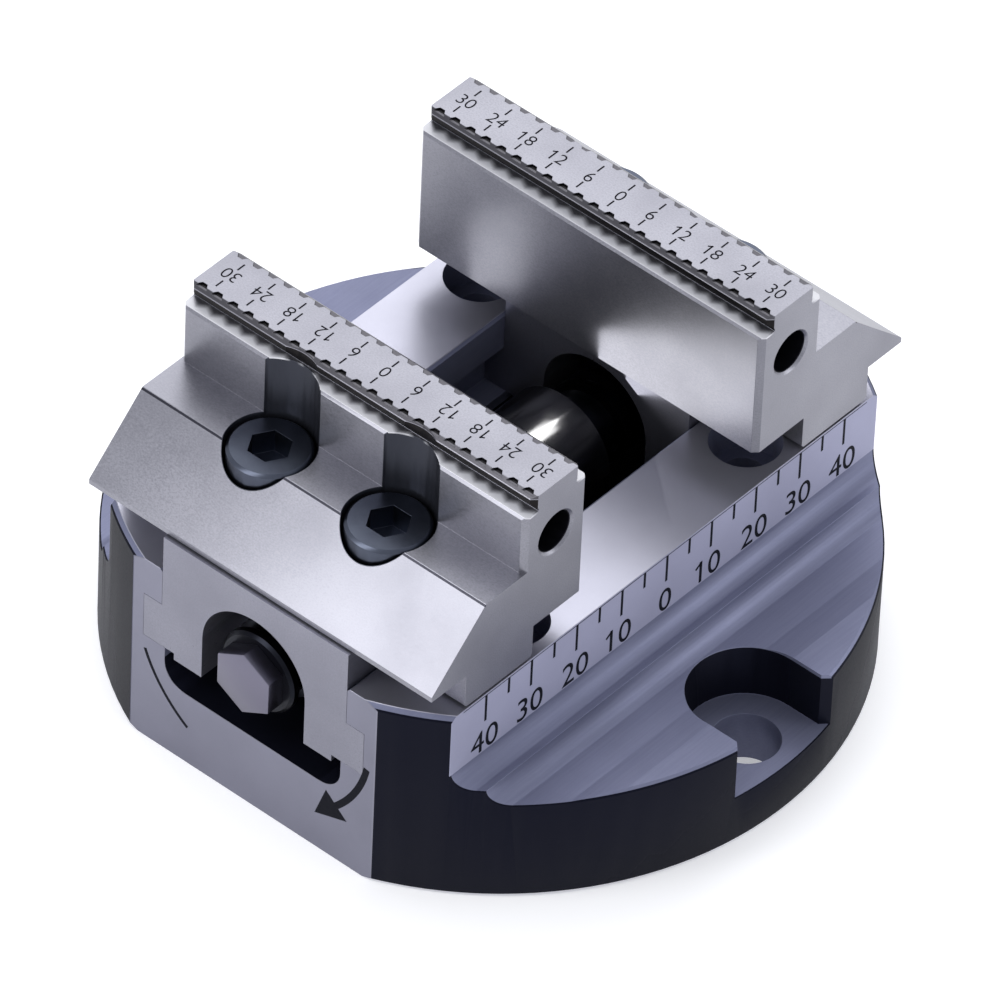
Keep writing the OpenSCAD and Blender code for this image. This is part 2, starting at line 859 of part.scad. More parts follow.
module jaw_screws() {
    at_both(screw_span / 2)
        translate([0, screw_y, screw_bore_z])
            cap_screw(screw_d, screw_l, screw_head_d, screw_head_h, screw_af, screw_socket_h);
}

module front_jaw_screws() {
    color("#454853")
        at_front()
            jaw_screws();
}

module rear_jaw_screws() {
    color("#454853")
        jaw_screws();
}

base_body();
bearing_block();
thrust_fork();
front_bush();
rear_bush();
front_wiper();
rear_wiper();
block_screws();
spindle();
front_slide();
rear_slide();
front_nut();
rear_nut();
front_nut_lock_screw();
rear_nut_lock_screw();
front_jaw();
rear_jaw();
front_jaw_dowel();
rear_jaw_dowel();
front_jaw_screws();
rear_jaw_screws();
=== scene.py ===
"""Looks of a five-axis machine vise: finishes, engraved scales, threads, studio and camera."""

import json
import logging
import math
from collections.abc import Iterator
from contextlib import contextmanager
from dataclasses import dataclass, field
from enum import Enum
from typing import Any

import bpy
from bpy.types import Material, Node, NodeSocket, NodeTree, Object
from mathutils import Matrix, Vector

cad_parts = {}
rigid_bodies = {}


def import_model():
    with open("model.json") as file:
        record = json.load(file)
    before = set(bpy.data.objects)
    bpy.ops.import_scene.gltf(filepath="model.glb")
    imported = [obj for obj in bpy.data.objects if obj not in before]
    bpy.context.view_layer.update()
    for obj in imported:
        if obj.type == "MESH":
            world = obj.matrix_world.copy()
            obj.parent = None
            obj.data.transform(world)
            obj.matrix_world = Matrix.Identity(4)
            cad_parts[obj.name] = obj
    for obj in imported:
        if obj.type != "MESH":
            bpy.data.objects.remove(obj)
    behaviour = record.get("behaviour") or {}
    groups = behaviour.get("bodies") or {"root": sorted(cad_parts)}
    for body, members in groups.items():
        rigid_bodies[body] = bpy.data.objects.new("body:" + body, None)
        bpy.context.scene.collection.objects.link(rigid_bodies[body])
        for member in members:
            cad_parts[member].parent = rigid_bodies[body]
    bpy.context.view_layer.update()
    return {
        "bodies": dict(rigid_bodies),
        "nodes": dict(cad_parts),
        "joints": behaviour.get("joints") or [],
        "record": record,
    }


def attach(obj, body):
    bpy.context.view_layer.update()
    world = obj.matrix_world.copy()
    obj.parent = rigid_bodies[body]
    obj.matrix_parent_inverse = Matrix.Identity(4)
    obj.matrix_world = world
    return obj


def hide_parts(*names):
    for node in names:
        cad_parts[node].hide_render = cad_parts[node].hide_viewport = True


LOG = logging.getLogger("vise")
MM = 0.001
# Places in millimetres that several classes share
JAW_Y = 26.05
RAIL_X = 33.3
AXIS_Z = 26.0
# Two or three numbers, such as a range or a place
Pair = tuple[float, float]
Triple = tuple[float, float, float]


class Axis(Enum):
    """Direction that the streaks of a surface or a hole run in."""

    X = 0
    Y = 1
    Z = 2


class End(Enum):
    """End of the vise that a carriage stands at, with the sign of its Y."""

    FRONT = -1
    REAR = 1

    @property
    def title(self) -> str:
        """Name of the end as the nodes and bodies have it."""
        return self.name.lower()


def mm(*values: float) -> Vector:
    """Turns millimetres into a vector in metres.

    Args:
        values: The three coordinates in millimetres.

    Returns:
        The same place in metres.
    """
    return Vector(values) * MM


def linear(hex_colour: str) -> tuple[float, float, float, float]:
    """Turns an sRGB hex colour into the linear colour that the shader takes.

    Args:
        hex_colour: Colour such as "#8b8b96".

    Returns:
        Linear red, green, blue and an alpha of one.
    """
    parts = [int(hex_colour[i:i + 2], 16) / 255 for i in (1, 3, 5)]
    light = [p / 12.92 if p <= 0.04045 else ((p + 0.055) / 1.055) ** 2.4 for p in parts]
    return light[0], light[1], light[2], 1.0


def add_node(tree: NodeTree, kind: str, inputs: dict[Any, Any] | None = None, **settings: Any) -> Node:
    """Adds one shader node with its settings, values and links.

    Args:
        tree: Node tree of the material.
        kind: Type of the node without its ShaderNode prefix.
        inputs: Value or output socket for each input, by name or by number.
        settings: Properties of the node itself.

    Returns:
        The new node.
    """
    node = tree.nodes.new("ShaderNode" + kind)
    for name, value in settings.items():
        setattr(node, name, value)
    for key, value in (inputs or {}).items():
        if isinstance(value, NodeSocket):
            tree.links.new(value, node.inputs[key])
        else:
            node.inputs[key].default_value = value
    return node


def overlap(tree: NodeTree, *masks: NodeSocket) -> NodeSocket:
    """Finds where several zones overlap.

    Args:
        tree: Node tree of the material.
        masks: Mask of each zone.

    Returns:
        The mask of their overlap.
    """
    whole, *others = masks
    for mask in others:
        whole = add_node(tree, "Math", {0: whole, 1: mask}, operation="MULTIPLY").outputs[0]
    return whole


def lay_zones(tree: NodeTree, colour: Any, zones: list[tuple[NodeSocket, str]]) -> NodeSocket:
    """Lays zones of other colours over a colour, each over the ones before it.

    Args:
        tree: Node tree of the material.
        colour: Colour below all zones, as a value or a socket.
        zones: Mask and colour of each zone.

    Returns:
        The colour with its zones.
    """
    for mask, zone_colour in zones:
        colour = add_node(tree, "MixRGB", {0: mask, 1: colour, 2: linear(zone_colour)}).outputs[0]
    return colour


@dataclass(frozen=True)
class Finish:
    """A finish, with the colour, gloss and relief that every finish has.

    Where gloss and relief follow a noise, noise_span is the part of the noise's range that
    counts, and gloss_spread is what it adds to the roughness.
    """

    name: str
    colour: str
    roughness: float
    metallic: float = 1.0
    specular: float = 0.5
    edge_tint: str = "#ffffff"
    noise_span: Pair = (0.0, 1.0)
    gloss_spread: Pair = (0.0, 0.0)
    relief_strength: float = 0.0
    relief_mm: float = 0.0

    def material(self) -> Material:
        """Gives the finish's material, which it makes from uniform values and pattern on first use.

        Returns:
            The material.
        """
        if self.name in bpy.data.materials:
            return bpy.data.materials[self.name]
        material = bpy.data.materials.new(self.name)
        material.use_nodes = True
        tree = material.node_tree
        shader = tree.nodes["Principled BSDF"]
        uniform = {
            "Base Color": linear(self.colour), "Metallic": self.metallic, "Roughness": self.roughness,
            "Specular IOR Level": self.specular, "Specular Tint": linear(self.edge_tint),
        }
        for name, value in uniform.items():
            shader.inputs[name].default_value = value
        self.pattern(tree, shader)
        return material

    def pattern(self, tree: NodeTree, shader: Node) -> None:
        """Adds what varies over the surface. A plain finish has nothing."""

    def grain(self, tree: NodeTree, cell_mm: Triple, detail: float = 2.0) -> NodeSocket:
        """Adds a noise whose cells have a real size along each axis of the object.

        Args:
            tree: Node tree of the material.
            cell_mm: Size of one cell along X, Y and Z, in millimetres.
            detail: Number of finer layers.

        Returns:
            The noise's value, from zero to one.
        """
        place = add_node(tree, "TexCoord").outputs["Object"]
        scaled = add_node(tree, "Mapping", {"Vector": place, "Scale": [1 / (c * MM) for c in cell_mm]})
        noise = add_node(tree, "TexNoise", {"Vector": scaled.outputs[0], "Scale": 1.0, "Detail": detail})
        return noise.outputs["Fac"]

    def half_place(self, tree: NodeTree) -> NodeSocket:
        """Gives a point's coordinates without their signs, so that both sides look alike.

        Args:
            tree: Node tree of the material.

        Returns:
            The distances along X, Y and Z.
        """
        place = add_node(tree, "TexCoord").outputs["Object"]
        return add_node(tree, "VectorMath", {0: place}, operation="ABSOLUTE").outputs[0]

    def roughen(
        self, tree: NodeTree, shader: Node, noise: NodeSocket, roughness: NodeSocket | None = None
    ) -> None:
        """Lets the roughness and the relief follow a noise.

        Args:
            tree: Node tree of the material.
            shader: Its main shader.
            noise: The noise.
            roughness: Roughness that the noise adds to, where it isn't the finish's own.
        """
        low, high = self.noise_span
        smooth, rough = self.gloss_spread
        change = add_node(tree, "MapRange", {
            "Value": noise, "From Min": low, "From Max": high, "To Min": smooth, "To Max": rough
        }).outputs[0]
        basis = self.roughness if roughness is None else roughness
        total = add_node(tree, "Math", {0: basis, 1: change}, operation="ADD").outputs[0]
        tree.links.new(total, shader.inputs["Roughness"])
        if self.relief_strength:
            relief = add_node(tree, "Bump", {
                "Height": noise, "Strength": self.relief_strength, "Distance": self.relief_mm * MM
            }).outputs[0]
            tree.links.new(relief, shader.inputs["Normal"])

    def skin_colour(self, tree: NodeTree, colour: NodeSocket) -> NodeSocket:
        """Lays zones of another colour over the steel. A plain finish has none.

        Args:
            tree: Node tree of the material.
            colour: Colour of the bare steel.

        Returns:
            The colour with its zones.
        """
        return colour

    def dress(self, obj: Object) -> None:
        """Puts the finish on every slot of a piece.

        Args:
            obj: The piece.
        """
        if not obj.material_slots:
            obj.data.materials.append(self.material())
        for slot in obj.material_slots:
            slot.material = self.material()


@dataclass(frozen=True)
class GroundSteel(Finish):
    """Hardened tool steel off a surface grinder: satin, with fine streaks and faint clouds."""

    streaks: Axis = Axis.X
    streak_mm: Pair = (0.28, 1.4)
    cloud_mm: float = 14.0
    cloud_detail: float = 4.0
    dark: str = "#77777f"
    tone_span: Pair = (0.12, 0.38)
    noise_span: Pair = (0.25, 0.75)
    gloss_spread: Pair = (-0.05, 0.07)
    relief_strength: float = 0.35
    relief_mm: float = 0.006

    def pattern(self, tree: NodeTree, shader: Node) -> None:
        """Adds the grinding streaks to colour, gloss and relief.

        Args:
            tree: Node tree of the material.
            shader: Its main shader.
        """
        width, length = self.streak_mm
        streak = self.grain(tree, tuple(length if axis is self.streaks else width for axis in Axis))
        cloud = self.grain(tree, (self.cloud_mm,) * 3, self.cloud_detail)
        both = add_node(tree, "Math", {0: streak, 1: cloud}, operation="MULTIPLY").outputs[0]
        low, high = self.tone_span
        tone = add_node(tree, "MapRange", {"Value": both, "From Min": low, "From Max": high}).outputs[0]
        colour = lay_zones(tree, linear(self.dark), [(tone, self.colour)])
        tree.links.new(self.skin_colour(tree, colour), shader.inputs["Base Color"])
        self.roughen(tree, shader, streak)


@dataclass(frozen=True)
class JawSteel(GroundSteel):
    """Ground jaw steel: light satin grey, ground bright on its outer faces.

    Painted shade darkens the screw seats, the end holes, the notches that face the front and the
    undercut of the lips. A painted highlight lies along the lips' edges, and the ledges carry a
    painted reflection whose inner side follows the teeth's painted shadow in scallops. The lips'
    slopes and the edge between shelf and slope are a darker grey. Sizes are in millimetres, in the
    vise's frame at rest.
    """

    # Painted shade in the screw seats
    skin: str = "#35373f"
    # Painted shade in the notches that face the front
    notch_skin: str = "#0f0e11"
    # Darker grey of the lips' slopes
    slope_skin: str = "#504f54"
    # Painted shade in the lips' undercut
    undercut_skin: str = "#181617"
    # Painted highlight along the lips' edges
    worn: str = "#8b8a92"
    # Painted reflection on the ledges, pale and hardly metallic
    fresh: str = "#cfcfd4"
    fresh_metallic: float = 0.1
    # Darker grey along the edge between the shelf and the slope
    line_skin: str = "#33333b"
    side_x: float = 33.25
    screw_at: Pair = (11.5, 37.5)
    seat_r: float = 7.1
    hole_z: float = 57.9
    hole_r: float = 3.5
    # Painted shade in the end holes
    hole_skin: str = "#1b1b22"
    ledge_z: Pair = (64.6, 65.06)
    ledge_edge: float = 6.5
    scallop: float = 1.5
    scallop_slope: float = 0.6
    scallop_from: Pair = (4.1, 5.3)
    face_z: float = 67.24
    edge_z: float = 67.38
    notch_z: float = 67.66
    notch_out: float = 4.32
    top_z: float = 67.96
    slope: float = 0.875
    slope_foot: float = 71.76
    line_at: Pair = (41.2, 53.6)
    line_half: float = 0.13

    def pattern(self, tree: NodeTree, shader: Node) -> None:
        """Adds the ground steel's pattern and the painted reflection on the ledges, which is paler and less
        metallic.

        Args:
            tree: Node tree of the material.
            shader: Its main shader.
        """
        super().pattern(tree, shader)
        metal = add_node(
            tree, "Mix", {"Factor": self.fresh_ledge(tree), "A": self.metallic, "B": self.fresh_metallic}
        ).outputs[0]
        tree.links.new(metal, shader.inputs["Metallic"])

    def lip_place(self, tree: NodeTree) -> list[NodeSocket]:
        """Measures a point from the middle of the jaw's top.

        Args:
            tree: Node tree of the material.

        Returns:
            The distance from the middle along X, the distance from the lips' middle line along Y
            and the height.
        """
        half = self.half_place(tree)
        middle = mm(0, JAW_Y, 0)
        off = add_node(tree, "VectorMath", {0: half, 1: middle}, operation="SUBTRACT").outputs[0]
        away = add_node(tree, "VectorMath", {0: off}, operation="ABSOLUTE").outputs[0]
        return list(add_node(tree, "SeparateXYZ", {0: away}).outputs)

    def fresh_ledge(self, tree: NodeTree) -> NodeSocket:
        """Finds the painted reflection on the ledges, whose inner side follows the teeth's painted shadow in
        scallops.

        Args:
            tree: Node tree of the material.

        Returns:
            The mask.
        """
        x, out, z = self.lip_place(tree)
        wave = add_node(tree, "Math", {0: x, 1: self.scallop * MM}, operation="PINGPONG").outputs[0]
        depth = add_node(
            tree, "Math", {0: wave, 1: -self.scallop_slope, 2: out}, operation="MULTIPLY_ADD"
        ).outputs[0]
        start, full = (edge * MM for edge in self.scallop_from)
        bright = add_node(tree, "MapRange", {"Value": depth, "From Min": start, "From Max": full}).outputs[0]
        low, high = (edge * MM for edge in self.ledge_z)
        level = add_node(
            tree, "Math", {0: z, 1: (low + high) / 2, 2: (high - low) / 2}, operation="COMPARE"
        ).outputs[0]
        near = add_node(tree, "Math", {0: out, 1: self.ledge_edge * MM}, operation="LESS_THAN").outputs[0]
        return overlap(tree, level, near, bright)

    def notches(self, tree: NodeTree, out: NodeSocket, z: NodeSocket) -> NodeSocket:
        """Finds the insides of the notches on the lips that face the front, where painted shade goes.

        Args:
            tree: Node tree of the material.
            out: Distance from the lips' middle line.
            z: Height.

        Returns:
            The mask.
        """
        place = add_node(tree, "TexCoord").outputs["Object"]
        y = add_node(tree, "SeparateXYZ", {0: place}).outputs[1]
        away = add_node(tree, "Math", {0: y}, operation="ABSOLUTE").outputs[0]
        side = add_node(tree, "Math", {0: away, 1: JAW_Y * MM}, operation="SUBTRACT").outputs[0]
        turn = add_node(tree, "Math", {0: side, 1: y}, operation="MULTIPLY").outputs[0]
        facing = add_node(tree, "Math", {0: turn, 1: 0.0}, operation="LESS_THAN").outputs[0]
        rise = add_node(tree, "Math", {0: out, 1: self.slope, 2: z}, operation="MULTIPLY_ADD").outputs[0]
        cut = add_node(tree, "Math", {0: rise, 1: self.slope_foot * MM}, operation="LESS_THAN").outputs[0]
        high = add_node(tree, "Math", {0: z, 1: self.notch_z * MM}, operation="GREATER_THAN").outputs[0]
        back = add_node(tree, "Math", {0: out, 1: self.notch_out * MM}, operation="LESS_THAN").outputs[0]
        return overlap(tree, cut, high, back, facing)

    def bore(self, tree: NodeTree, along: Axis, centre: Triple, radius: float) -> NodeSocket:
        """Finds the insides of the round holes at one place and its mirror images.

        Args:
            tree: Node tree of the material.
            along: Axis that the holes run along.
            centre: Centre of a hole, with zero along its axis.
            radius: Radius of the zone.

        Returns:
            The mask.
        """
        across = tuple(float(axis is not along) for axis in Axis)
        flat = add_node(
            tree, "VectorMath", {0: self.half_place(tree), 1: across}, operation="MULTIPLY"
        ).outputs[0]
        reach = add_node(tree, "VectorMath", {0: flat, 1: mm(*centre)}, operation="DISTANCE").outputs["Value"]
        return add_node(tree, "Math", {0: reach, 1: radius * MM}, operation="LESS_THAN").outputs[0]

    def slope_line(self, tree: NodeTree) -> NodeSocket:
        """Finds the broken edge between the shelf and the slope below it, which stays dark.

        Args:
            tree: Node tree of the material.

        Returns:
            The mask.
        """
        apart = add_node(tree, "SeparateXYZ", {0: self.half_place(tree)}).outputs
        y, z = (value * MM for value in self.line_at)
        line = add_node(
            tree, "Math", {0: apart[1], 1: y, 2: self.line_half * MM}, operation="COMPARE"
        ).outputs[0]
        high = add_node(tree, "Math", {0: apart[2], 1: z}, operation="GREATER_THAN").outputs[0]
        return overlap(tree, line, high)

    def skin_colour(self, tree: NodeTree, colour: NodeSocket) -> NodeSocket:
        """Lays the zones of painted shade, painted highlight and painted reflection, and the darker grey
        zones, over the ground steel.

        Args:
            tree: Node tree of the material.
            colour: Colour of the ground steel.

        Returns:
            The colour with its zones.
        """
        x, out, z = self.lip_place(tree)
        inside = add_node(tree, "Math", {0: x, 1: self.side_x * MM}, operation="LESS_THAN").outputs[0]
        ledge, face, edge, top = (
            add_node(tree, "Math", {0: z, 1: height * MM}, operation="GREATER_THAN").outputs[0]
            for height in (self.ledge_z[1], self.face_z, self.edge_z, self.top_z)
        )
        # Lip band: painted shade in the undercut and the notches, a painted highlight along the edge, a
        # darker grey on the slope
        lip = lay_zones(tree, linear(self.undercut_skin), [
            (face, self.worn), (edge, self.slope_skin), (self.notches(tree, out, z), self.notch_skin)
        ])
        band = add_node(tree, "Math", {0: ledge, 1: top}, operation="SUBTRACT").outputs[0]
        steel = lay_zones(tree, colour, [
            # Painted shade in the screw seats and the end holes
            (self.bore(tree, Axis.Z, (*self.screw_at, 0.0), self.seat_r), self.skin),
            (self.bore(tree, Axis.X, (0.0, JAW_Y, self.hole_z), self.hole_r), self.hole_skin),
            (self.slope_line(tree), self.line_skin),
            # Painted reflection on the ledges, with the teeth's painted shadow in scallops
            (self.fresh_ledge(tree), self.fresh),
        ])
        return add_node(tree, "MixRGB", {0: overlap(tree, band, inside), 1: steel, 2: lip}).outputs[0]


@dataclass(frozen=True)
class Look:
    """Colour, roughness and metallic value of one zone of a part."""

    colour: str
    roughness: float
    metallic: float


@dataclass(frozen=True)
class BaseSteel(Finish):
    """Blued tool steel: satin on the flange, near-black on the turned rim, ground bright where it fits.

    The rail tops and end flats are ground after bluing, and the scale faces are blasted matt so
    that their marks read well. The rail tops are painted lighter than the end flats, as painted light,
    and below the flange the rim's near-black is laid again as painted shade. All are told from the
    rest by their place on the base.
    """

    # Near-black of the turned rim, laid also below the flange as painted shade
    rim: Look = Look("#14151f", 0.42, 0.5)
    matt: Look = Look("#9b9cb2", 0.55, 0.25)
    ground: Look = Look("#868692", 0.32, 0.85)
    # Rail tops painted lighter than the end flats: painted light on the upward ground faces
    rail_top: Look = Look("#a8a8b4", 0.32, 0.85)
    dark: str = "#72758c"
    rim_radius_mm: float = 57.75
    # Heights below the flange that get painted shade
    low_mm: Pair = (9.05, 18.35)
    flat_mm: float = 52.9
    rail_top_mm: float = 35.4
    scale_foot_mm: float = 24.0
    face_skin_mm: float = 0.08
    draw_mm: Triple = (0.35, 9.0, 0.35)
    grit_mm: float = 0.3
    cloud_mm: float = 18.0
    cloud_detail: float = 4.0
    tone_span: Pair = (0.3, 0.7)
    cloud_shade: Pair = (0.92, 1.06)
    noise_span: Pair = (0.25, 0.75)
    gloss_spread: Pair = (-0.03, 0.05)
    relief_strength: float = 0.25
    relief_mm: float = 0.005

    def zones(self, tree: NodeTree) -> list[tuple[NodeSocket, Look]]:
        """Finds the zones that look unlike the flange.

        Args:
            tree: Node tree of the material.

        Returns:
            Mask and look of the rim with the painted shade below the flange, the scale faces, the end
            flats and the rail tops with their painted light. Each lies over the ones before it.
        """
        place = self.half_place(tree)
        x, y, z = add_node(tree, "SeparateXYZ", {0: place}).outputs
        level = add_node(tree, "VectorMath", {0: place, 1: (1.0, 1.0, 0.0)}, operation="MULTIPLY").outputs[0]
        radius = add_node(tree, "VectorMath", {0: level}, operation="LENGTH").outputs["Value"]
        limits = (
            (radius, self.rim_radius_mm), (y, self.flat_mm), (z, self.scale_foot_mm), (z, self.rail_top_mm)
        )
        turned, end_flat, high, top = (
            add_node(tree, "Math", {0: value, 1: limit * MM}, operation="GREATER_THAN").outputs[0]
            for value, limit in limits
        )
        middle, half = sum(self.low_mm) / 2, (self.low_mm[1] - self.low_mm[0]) / 2
        bands = ((z, middle, half), (x, RAIL_X, self.face_skin_mm))
        low, on_face = (
            add_node(tree, "Math", {0: value, 1: at * MM, 2: reach * MM}, operation="COMPARE").outputs[0]
            for value, at, reach in bands
        )
        # The rim's own near-black, and painted shade below the flange
        dark = add_node(tree, "Math", {0: turned, 1: low}, operation="MAXIMUM").outputs[0]
        face = overlap(tree, on_face, high)
        return [(dark, self.rim), (face, self.matt), (end_flat, self.ground), (top, self.rail_top)]

    def pattern(self, tree: NodeTree, shader: Node) -> None:
        """Adds the looks of the base's zones and their grain.

        Args:
            tree: Node tree of the material.
            shader: Its main shader.
        """
        draw = self.grain(tree, self.draw_mm)
        grit = self.grain(tree, (self.grit_mm,) * 3)
        cloud = self.grain(tree, (self.cloud_mm,) * 3, self.cloud_detail)
        low, high = self.tone_span
        tone = add_node(tree, "MapRange", {"Value": draw, "From Min": low, "From Max": high}).outputs[0]
        colour = lay_zones(tree, linear(self.dark), [(tone, self.colour)])
        gloss, metal = self.roughness, self.metallic
        for mask, look in self.zones(tree):
            colour = lay_zones(tree, colour, [(mask, look.colour)])
            gloss = add_node(tree, "Mix", {"Factor": mask, "A": gloss, "B": look.roughness}).outputs[0]
            metal = add_node(tree, "Mix", {"Factor": mask, "A": metal, "B": look.metallic}).outputs[0]
        tree.links.new(metal, shader.inputs["Metallic"])
        least, most = self.cloud_shade
        shade = add_node(tree, "MapRange", {
            "Value": cloud, "From Min": low, "From Max": high, "To Min": least, "To Max": most
        }).outputs[0]
        shaded = add_node(tree, "VectorMath", {0: colour, "Scale": shade}, operation="SCALE").outputs[0]
        tree.links.new(shaded, shader.inputs["Base Color"])
        self.roughen(tree, shader, grit, gloss)


@dataclass(frozen=True)
class OxideSteel(Finish):
    """Blackened steel: a smooth dark skin with slight clouds, glossy where it is polished."""

    cloud_mm: float = 5.0
    cloud_detail: float = 5.0
    lighter: str = "#2b2d36"
    tone_span: Pair = (0.3, 0.75)
    gloss_spread: Pair = (-0.04, 0.08)

    def pattern(self, tree: NodeTree, shader: Node) -> None:
        """Adds clouds to the colour and gloss.

        Args:
            tree: Node tree of the material.
            shader: Its main shader.
        """
        cloud = self.grain(tree, (self.cloud_mm,) * 3, self.cloud_detail)
        low, high = self.tone_span
        tone = add_node(tree, "MapRange", {"Value": cloud, "From Min": low, "From Max": high}).outputs[0]
        colour = lay_zones(tree, linear(self.colour), [(tone, self.lighter)])
        tree.links.new(self.skin_colour(tree, colour), shader.inputs["Base Color"])
        self.roughen(tree, shader, cloud)


@dataclass(frozen=True)
class SpindleSteel(OxideSteel):
    """Blackened spindle steel, with the key hexagons at its ends ground bright by use."""

    bare: str = "#6d6b79"
    bare_y_mm: float = 52.32

    def skin_colour(self, tree: NodeTree, colour: NodeSocket) -> NodeSocket:
        """Bares the steel of the hexagons.

        Args:
            tree: Node tree of the material.
            colour: Colour of the blackened steel.

        Returns:
            The colour with the bare ends.
        """
        along = add_node(tree, "SeparateXYZ", {0: self.half_place(tree)}).outputs[1]
        end = add_node(tree, "Math", {0: along, 1: self.bare_y_mm * MM}, operation="GREATER_THAN").outputs[0]
        return lay_zones(tree, colour, [(end, self.bare)])


@dataclass(frozen=True)
class MattSkin(Finish):
    """Rubber or ink: matt, with a fine uneven skin."""

    pore_mm: float = 0.4
    gloss_spread: Pair = (-0.1, 0.1)
    relief_strength: float = 0.2
    relief_mm: float = 0.01

    def pattern(self, tree: NodeTree, shader: Node) -> None:
        """Adds the uneven skin to gloss and relief.

        Args:
            tree: Node tree of the material.
            shader: Its main shader.
        """
        pore = self.grain(tree, (self.pore_mm,) * 3)
        self.roughen(tree, shader, pore)


@dataclass(frozen=True)
class StudioPaper(MattSkin):
    """White studio paper that is lit from below, so that it stays white round the vise."""

    glow: float = 0.35

    def pattern(self, tree: NodeTree, shader: Node) -> None:
        """Adds the paper's skin and its glow.

        Args:
            tree: Node tree of the material.
            shader: Its main shader.
        """
        super().pattern(tree, shader)
        shader.inputs["Emission Color"].default_value = linear(self.colour)
        shader.inputs["Emission Strength"].default_value = self.glow


# Hardened steel, ground: light satin grey outside, with painted shade near-black in its recesses.
JAW_STEEL = JawSteel(
    "ground_jaw_steel", "#8f8f97", 0.34, metallic=0.85, dark="#7d7d85", streak_mm=(0.22, 0.34)
)
# Ground steel of the slides: a darker, bluer grey than the jaws.
SLIDE_STEEL = GroundSteel("ground_slide_steel", "#84848f", 0.32, metallic=0.8, streaks=Axis.Y, dark="#777782")
# Blued steel of the base, ground bright on its fitting faces.
BASE_STEEL = BaseSteel("blued_base_steel", "#777a90", 0.44, metallic=0.5, edge_tint="#474c66")
# Polished black enamel of the bearing block: deep black with clear white highlights.
BLACK_ENAMEL = OxideSteel(
    "polished_black_enamel", "#050507", 0.17, specular=0.25, metallic=0.0, lighter="#0b0b0e"
)
# Black oxide of the spindle: dark, with a soft sheen on the threads' crests.
SPINDLE_STEEL = SpindleSteel("black_oxide_spindle_steel", "#17181d", 0.28, lighter="#23252c")
# Burnished alloy steel of the cap screws: dark blue-grey with a soft sheen.
SCREW_STEEL = OxideSteel("burnished_screw_steel", "#434753", 0.30, lighter="#525763")
# Phosphated steel of the nuts: dull dark grey.
NUT_STEEL = OxideSteel("phosphated_nut_steel", "#3c3e48", 0.42, lighter="#4a4d58")
# Hardened steel ground round, for dowels and the thrust fork: bright and smooth.
PIN_STEEL = GroundSteel("ground_pin_steel", "#9a9aa2", 0.22, streaks=Axis.Y, dark="#8c8c94")
# Turned bearing bronze: warm, with fine rings from the lathe.
BUSH_BRONZE = GroundSteel("turned_bearing_bronze", "#b08a54", 0.30, streaks=Axis.Y, dark="#96733f")
# Moulded nitrile rubber of the wiper rings: dull black.
WIPER_RUBBER = MattSkin("moulded_wiper_rubber", "#141416", 0.62, metallic=0.0)
# Laser-darkened lines of the scales: matt blue-black.
MARK_INK = MattSkin("laser_mark_black", "#0c0d16", 0.7, metallic=0.0, specular=0.1)


@contextmanager
def editing(action: str = "SELECT") -> Iterator[None]:
    """Opens the active mesh in edit mode for as long as the block runs.

    Args:
        action: Whether its vertices start as selected or not.
    """
    bpy.ops.object.mode_set(mode="EDIT")
    bpy.ops.mesh.select_mode(type="VERT")
    bpy.ops.mesh.select_all(action=action)
    yield
    bpy.ops.object.mode_set(mode="OBJECT")


def take(obj: Object) -> None:
    """Makes one object the only one selected and the active one.

    Args:
        obj: The object.
    """
    bpy.ops.object.select_all(action="DESELECT")
    obj.select_set(True)
    bpy.context.view_layer.objects.active = obj


def settle(obj: Object, place: Matrix | None = None) -> Object:
    """Moves an object's place into its mesh, so that the object itself lies at the origin.

    Args:
        obj: Object to settle.
        place: A further transform, applied after the object's own.

    Returns:
        The same object.
    """
    bpy.context.view_layer.update()
    obj.data.transform((place or Matrix.Identity(4)) @ obj.matrix_world)
    obj.matrix_world = Matrix.Identity(4)
    return obj


def apply_modifier(obj: Object, kind: str, **settings: Any) -> None:
    """Adds one modifier to an object and applies it.

    Args:
        obj: The object.
        kind: Type of the modifier.
        settings: Its properties.
    """
    take(obj)
    modifier = obj.modifiers.new(kind.lower(), kind)
    for name, value in settings.items():
        setattr(modifier, name, value)
    bpy.ops.object.modifier_apply(modifier=modifier.name)


def join(pieces: list[Object], name: str) -> Object:
    """Joins several objects into one.

    Args:
        pieces: Objects to join.
        name: Name of the result.

    Returns:
        The joined object.
    """
    take(pieces[0])
    for piece in pieces:
        piece.select_set(True)
    bpy.ops.object.join()
    joined = bpy.context.view_layer.objects.active
    joined.name = name
    joined.data.name = name
    return joined


@dataclass(frozen=True)
class EdgeBreak:
    """The small rounding that every machined edge has."""

    width_mm: float
    segments: int = 2
    weld_mm: float = 0.001
    flat_deg: float = 0.5
    edge_deg: float = 28.0

    def add(self, obj: Object) -> None:
        """Adds the rounding to a CAD node as live modifiers.

        Args:
            obj: The CAD node.
        """
        weld = obj.modifiers.new("weld", "WELD")
        weld.merge_threshold = self.weld_mm * MM
        flat = obj.modifiers.new("flat_faces", "DECIMATE")
        flat.decimate_type = "DISSOLVE"
        flat.angle_limit = math.radians(self.flat_deg)
        bevel = obj.modifiers.new("edge_break", "BEVEL")
        bevel.width = self.width_mm * MM
        bevel.segments = self.segments
        bevel.limit_method = "ANGLE"
        bevel.angle_limit = math.radians(self.edge_deg)
        bevel.harden_normals = True


@dataclass(frozen=True)
class MarkFace:
    """Flat face that carries marks: its origin in millimetres, and its right and up directions."""

    origin: Triple
    right: Triple
    up: Triple

    def matrix(self) -> Matrix:
        """Gives the transform from the face's own millimetres to the vise's metres.

        Returns:
            The transform.
        """
        right, up = Vector(self.right), Vector(self.up)
        out = right.cross(up)
        turn = Matrix((right, up, out)).transposed().to_4x4()
        return Matrix.Translation(mm(*self.origin)) @ turn @ Matrix.Scale(MM, 4)


